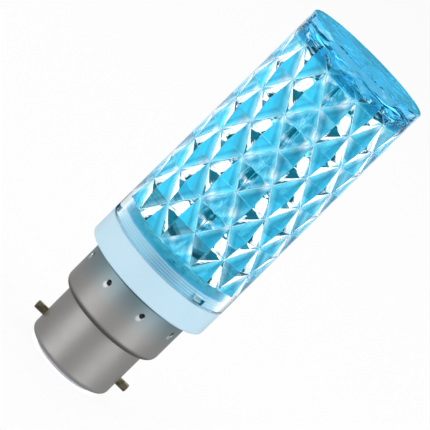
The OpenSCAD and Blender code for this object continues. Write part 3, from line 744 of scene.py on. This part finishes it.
def window_ring(nodes, size):
    """A box for each catch, from inside the bore to outside the cover."""
    reach = 4 * MM
    inside_bore = 0.1 * MM
    box_size = nodes.add("ShaderNodeCombineXYZ", None,
                         {0: reach, 1: size["Window width"], 2: size["Window height"]})
    box = nodes.add("GeometryNodeMeshCube", None, {"Size": box_size})
    points = nodes.add("GeometryNodePoints", None, {"Count": size["Windows"]})
    index = nodes.add("GeometryNodeInputIndex")
    angle = size["First window"] + index * (2 * math.pi) / size["Windows"]
    radius = size["Bore radius"] + reach / 2 - inside_bore
    height = size["Seam height"] + size["Window lift"] + size["Window height"] * 0.5
    points = nodes.add("GeometryNodeSetPosition", None,
                       {0: points, "Position": polar(nodes, radius, angle, height)})
    turn = nodes.add("ShaderNodeCombineXYZ", None, {2: angle})
    rotation = nodes.add("FunctionNodeEulerToRotation", None, {0: turn})
    copies = nodes.add("GeometryNodeInstanceOnPoints", None,
                       {"Points": points, "Instance": box, "Rotation": rotation})
    return nodes.add("GeometryNodeRealizeInstances", None, {0: copies})


def make_cover(sizes, material):
    """The crystal cover as one plain mesh."""
    lower = sizes.seam_z + sizes.plain_low
    ceiling = sizes.top_z - sizes.crown
    upper = ceiling - sizes.plain_high
    piece = link("crystal_cover_moulding", bpy.data.meshes.new("seed"))
    values = {
        "Seam height": sizes.seam_z, "Top height": sizes.top_z, "Foot radius": sizes.foot_r,
        "Top radius": sizes.top_r, "Seam chamfer": sizes.seam_edge, "Top chamfer": sizes.top_edge,
        "Bore radius": sizes.bore_r, "Lower facets": lower, "Upper facets": upper, "Ceiling": ceiling,
        "Star rise": sizes.star_rise, "Ridge wall": sizes.crossing_wall, "Middle wall": sizes.middle_wall,
        "Rows": sizes.rows, "Columns": sizes.columns, "First column": sizes.turn,
        "Windows": sizes.catches, "First window": sizes.catch_turn, "Window width": sizes.window_w,
        "Window height": sizes.window_h, "Window lift": sizes.window_lift, "Material": material}
    core = piece.modifiers.new("facet core", "NODES")
    core.node_group = facet_core_tree()
    set_inputs(core, values)
    if sizes.ridge_r > 0:
        rounding = piece.modifiers.new("ridge rounding", "BEVEL")
        rounding.width = sizes.ridge_r
        rounding.segments = ROUNDING_STEPS
        rounding.limit_method = "ANGLE"
        rounding.angle_limit = ROUNDING_ANGLE
    wall = piece.modifiers.new("cover wall", "NODES")
    wall.node_group = cover_tree()
    set_inputs(wall, values)
    return bake(piece)


def bake(piece):
    """Turns a piece's evaluated result into its plain mesh and removes its modifiers."""
    depsgraph = bpy.context.evaluated_depsgraph_get()
    mesh = bpy.data.meshes.new_from_object(piece.evaluated_get(depsgraph))
    piece.modifiers.clear()
    piece.data = mesh
    mesh.name = piece.name
    return piece


def finish_node(name, material):
    """Gives a CAD node its material."""
    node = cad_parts[name]
    node.data.materials.clear()
    node.data.materials.append(material)


# ---------------------------------------------------------------- operators


class LAMP_OT_stage(Operator):
    """Camera, floor, world and lamps."""

    bl_idname = "lamp.stage"
    bl_label = "Stage"

    def execute(self, context):
        sizes = context.scene.lamp_stage
        set_camera(sizes)
        set_floor(sizes)
        set_world(sizes)
        set_lamps()
        context.scene.view_settings.view_transform = "Standard"
        return {"FINISHED"}


def set_camera(sizes):
    """A long lens that leans, so that the lamp lies across the view."""
    side = Vector((math.sin(sizes.azimuth), math.cos(sizes.azimuth), 0))
    up = Vector((0, 0, 1))
    right = side.cross(up)
    ahead = side * math.cos(sizes.pitch) - up * math.sin(sizes.pitch)
    lifted = up * math.cos(sizes.pitch) + side * math.sin(sizes.pitch)
    right, lifted = (right * math.cos(sizes.roll) + lifted * math.sin(sizes.roll),
                     lifted * math.cos(sizes.roll) - right * math.sin(sizes.roll))
    data = bpy.data.cameras.new("camera")
    data.sensor_width = SENSOR_WIDTH
    data.lens = sizes.lens
    data.clip_start = CLIP_START
    data.shift_x, data.shift_y = sizes.shift_x, sizes.shift_y
    camera = bpy.data.objects.new("camera", data)
    matrix = Matrix((right, lifted, -ahead)).transposed().to_4x4()
    matrix.translation = Vector((0, 0, sizes.camera_z)) - side * sizes.distance
    camera.matrix_world = matrix
    bpy.context.scene.collection.objects.link(camera)
    bpy.context.scene.camera = camera


def set_floor(sizes):
    """A pale floor just under the lamp that keeps its shadow and is white to the camera. It is
    open under the foot and clear from below, so that the contact end shows."""
    mesh = bpy.data.meshes.new("floor")
    shape = bmesh.new()
    bmesh.ops.create_grid(shape, x_segments=1, y_segments=1, size=FLOOR_HALF_WIDTH)
    shape.to_mesh(mesh)
    shape.free()
    floor = link("floor", mesh)
    floor.location.z = -sizes.floor_drop
    material, nodes = new_material("floor_paper")
    place = nodes.place()
    grain = nodes.noise(place, 300, detail=2)
    paper = nodes.add("ShaderNodeBsdfDiffuse", None,
                      {"Color": nodes.mix(grain, (0.80, 0.80, 0.80), (0.83, 0.83, 0.83))})
    glow = nodes.add("ShaderNodeEmission", None, {"Color": (1, 1, 1, 1), "Strength": 1.0})
    camera, glossy, through = nodes.rays("Is Camera Ray", "Is Glossy Ray", "Is Transmission Ray")
    white = nodes.add("ShaderNodeMixShader", None, {0: camera * FLOOR_WHITE, 1: paper, 2: glow})
    x, y = nodes.parts(place)[:2]
    foot = span(x, y).below(sizes.floor_hole_r)
    below = nodes.add("ShaderNodeNewGeometry", output="Backfacing")
    clear = glossy.maths("MAXIMUM", through).maths("MAXIMUM", foot).maths("MAXIMUM", below)
    surface = nodes.add("ShaderNodeMixShader", None, {
        0: clear, 1: white, 2: nodes.add("ShaderNodeBsdfTransparent")})
    nodes.add("ShaderNodeOutputMaterial", None, {"Surface": surface})
    mesh.materials.append(material)


def studio_level(nodes, azimuth, elevation, boxes):
    """Level of the brightest soft box in a direction."""
    level = None
    for middle, lift, half_w, half_h, strength in boxes:
        middle, lift, half_w, half_h = (math.radians(value) for value in (middle, lift, half_w, half_h))
        away = ((azimuth - middle + math.pi) % (2 * math.pi) - math.pi).maths("ABSOLUTE")
        rise = (elevation - lift).maths("ABSOLUTE")
        across = 1 - away.ramp(half_w - BOX_EDGE, half_w + BOX_EDGE)
        part = across * (1 - rise.ramp(half_h - BOX_EDGE, half_h + BOX_EDGE)) * strength
        level = part if level is None else level.maths("MAXIMUM", part)
    return level


def set_world(sizes):
    """Plain light for the room, white to the camera, and soft boxes for metal and glass."""
    world = bpy.data.worlds.new("studio")
    bpy.context.scene.world = world
    world.use_nodes = True
    nodes = Nodes(world.node_tree)
    x, y, z = nodes.parts(nodes.add("ShaderNodeTexCoord", output="Generated"))
    azimuth = x.maths("ARCTAN2", y * -1.0)
    elevation = z.maths("ARCSINE")
    glass = studio_level(nodes, azimuth, elevation, GLASS_BOXES)
    metal = studio_level(nodes, azimuth, elevation, METAL_BOXES).maths("MAXIMUM", METAL_ROOM)
    camera, glossy, through = nodes.rays("Is Camera Ray", "Is Glossy Ray", "Is Transmission Ray")
    strength = sizes.room * (1 - glossy) + metal * glossy
    strength = strength * (1 - through) + glass.maths("MAXIMUM", 1) * through
    strength = strength * (1 - camera) + camera
    shade = nodes.mix(glass.maths("MINIMUM", 1), GLASS_ROOM, (1, 1, 1))
    colour_seen = nodes.mix(through, (1, 1, 1), shade)
    background = nodes.add("ShaderNodeBackground", None, {"Color": colour_seen, "Strength": strength})
    nodes.add("ShaderNodeOutputWorld", None, {"Surface": background})


def set_lamps():
    """Soft lamps on both sides and overhead."""
    for name, azimuth, elevation, size, power in LAMPS:
        data = bpy.data.lights.new(name, "AREA")
        data.size = size
        data.energy = power
        lamp = bpy.data.objects.new(name, data)
        turn, lift = math.radians(azimuth), math.radians(elevation)
        away = Vector((math.sin(turn) * math.cos(lift), -math.cos(turn) * math.cos(lift), math.sin(lift)))
        lamp.location = LAMP_TARGET + away * LAMP_DISTANCE
        lamp.rotation_euler = (-away).to_track_quat("-Z", "Y").to_euler()
        bpy.context.scene.collection.objects.link(lamp)


class LAMP_OT_cover(Operator):
    """Builds the faceted crystal cover."""

    bl_idname = "lamp.cover"
    bl_label = "Crystal cover"

    def execute(self, context):
        sizes = context.scene.lamp_cover
        cover = make_cover(sizes, crystal_finish(sizes))
        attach(cover, "root")
        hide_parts("crystal_cover")
        return {"FINISHED"}


class LAMP_OT_cap(Operator):
    """Finishes the metal cap, its pins, the insulator and the contacts."""

    bl_idname = "lamp.cap"
    bl_label = "Cap and contacts"

    def execute(self, context):
        colours = context.scene.lamp_colours
        finish_node("cap_shell", nickel_finish(colours))
        bronze = bronze_finish(colours)
        finish_node("bayonet_pin_left", bronze)
        finish_node("bayonet_pin_right", bronze)
        finish_node("cap_insulator", glazed_finish(colours))
        brass = brass_finish(colours)
        finish_node("contact_plate_front", brass)
        finish_node("contact_plate_rear", brass)
        return {"FINISHED"}


class LAMP_OT_housing(Operator):
    """Finishes the moulded housing."""

    bl_idname = "lamp.housing"
    bl_label = "Housing"

    def execute(self, context):
        finish_node("housing", moulded_finish(context.scene.lamp_colours))
        return {"FINISHED"}


class LAMP_OT_driver(Operator):
    """Finishes the driver board, its components and the leads."""

    bl_idname = "lamp.driver"
    bl_label = "Driver board"

    def execute(self, context):
        finish_node("driver_board",
                    board_finish("board_green", (0.02, 0.16, 0.07), (0.06, 0.30, 0.12), pitch=1.6 * MM))
        chip = plain_finish("chip_black", (0.02, 0.02, 0.022), (0.035, 0.035, 0.038), roughness=0.5,
                            scale=1500)
        finish_node("bridge_rectifier", chip)
        finish_node("driver_chip", chip)
        finish_node("film_capacitor",
                    plain_finish("capacitor_red", (0.45, 0.06, 0.03), (0.38, 0.05, 0.03), roughness=0.25))
        finish_node("smoothing_capacitor",
                    plain_finish("can_sleeve", (0.02, 0.05, 0.06), (0.03, 0.07, 0.08), roughness=0.35))
        finish_node("choke", winding_finish())
        finish_node("fusible_resistor",
                    plain_finish("resistor_coat", (0.06, 0.22, 0.14), (0.08, 0.26, 0.17)))
        for name, sleeve in LEAD_SLEEVES.items():
            finish_node(name, plain_finish(name + "_sleeve", sleeve, darker(sleeve, 0.9), scale=900))
        return {"FINISHED"}


class LAMP_OT_leds(Operator):
    """Finishes the LED board, its screws and its LEDs."""

    bl_idname = "lamp.leds"
    bl_label = "LED board"

    def execute(self, context):
        finish_node("led_board",
                    board_finish("led_board_white", (0.80, 0.82, 0.82), (0.66, 0.70, 0.70),
                                 pitch=3.2 * MM))
        steel = plain_finish("screw_steel", (0.62, 0.62, 0.60), (0.50, 0.50, 0.48), roughness=0.3,
                             scale=800, metallic=1.0)
        finish_node("led_board_screws", steel)
        package = led_finish()
        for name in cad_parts:
            if name.startswith("led_") and name[4:].isdigit():
                finish_node(name, package)
        return {"FINISHED"}


class LAMP_PT_panel(Panel):
    """Buttons for the lamp's pieces and its stage."""

    bl_idname = "LAMP_PT_panel"
    bl_label = "Crystal lamp"
    bl_space_type = "VIEW_3D"
    bl_region_type = "UI"
    bl_category = "Crystal lamp"

    def draw(self, context):
        for operator in OPERATORS:
            self.layout.operator(operator.bl_idname)
        for group in ("lamp_cover", "lamp_colours", "lamp_stage"):
            box = self.layout.box()
            sizes = getattr(context.scene, group)
            for name in sizes.bl_rna.properties.keys():
                if name not in ("rna_type", "name"):
                    box.prop(sizes, name)


OPERATORS = (LAMP_OT_stage, LAMP_OT_cover, LAMP_OT_cap, LAMP_OT_housing, LAMP_OT_driver, LAMP_OT_leds)
GROUPS = {"lamp_cover": CoverSizes, "lamp_colours": FinishColours, "lamp_stage": StageSizes}


def register():
    """Registers the classes and hangs the property groups on the scene."""
    for cls in (*GROUPS.values(), *OPERATORS, LAMP_PT_panel):
        bpy.utils.register_class(cls)
    for name, cls in GROUPS.items():
        setattr(bpy.types.Scene, name, PointerProperty(type=cls))


def unregister():
    """Undoes register."""
    for name in GROUPS:
        delattr(bpy.types.Scene, name)
    for cls in reversed((*GROUPS.values(), *OPERATORS, LAMP_PT_panel)):
        bpy.utils.unregister_class(cls)


def main():
    """Makes every piece and the stage."""
    register()
    for operator in OPERATORS:
        family, name = operator.bl_idname.split(".")
        getattr(getattr(bpy.ops, family), name)()


if __name__ == "__main__":
    main()
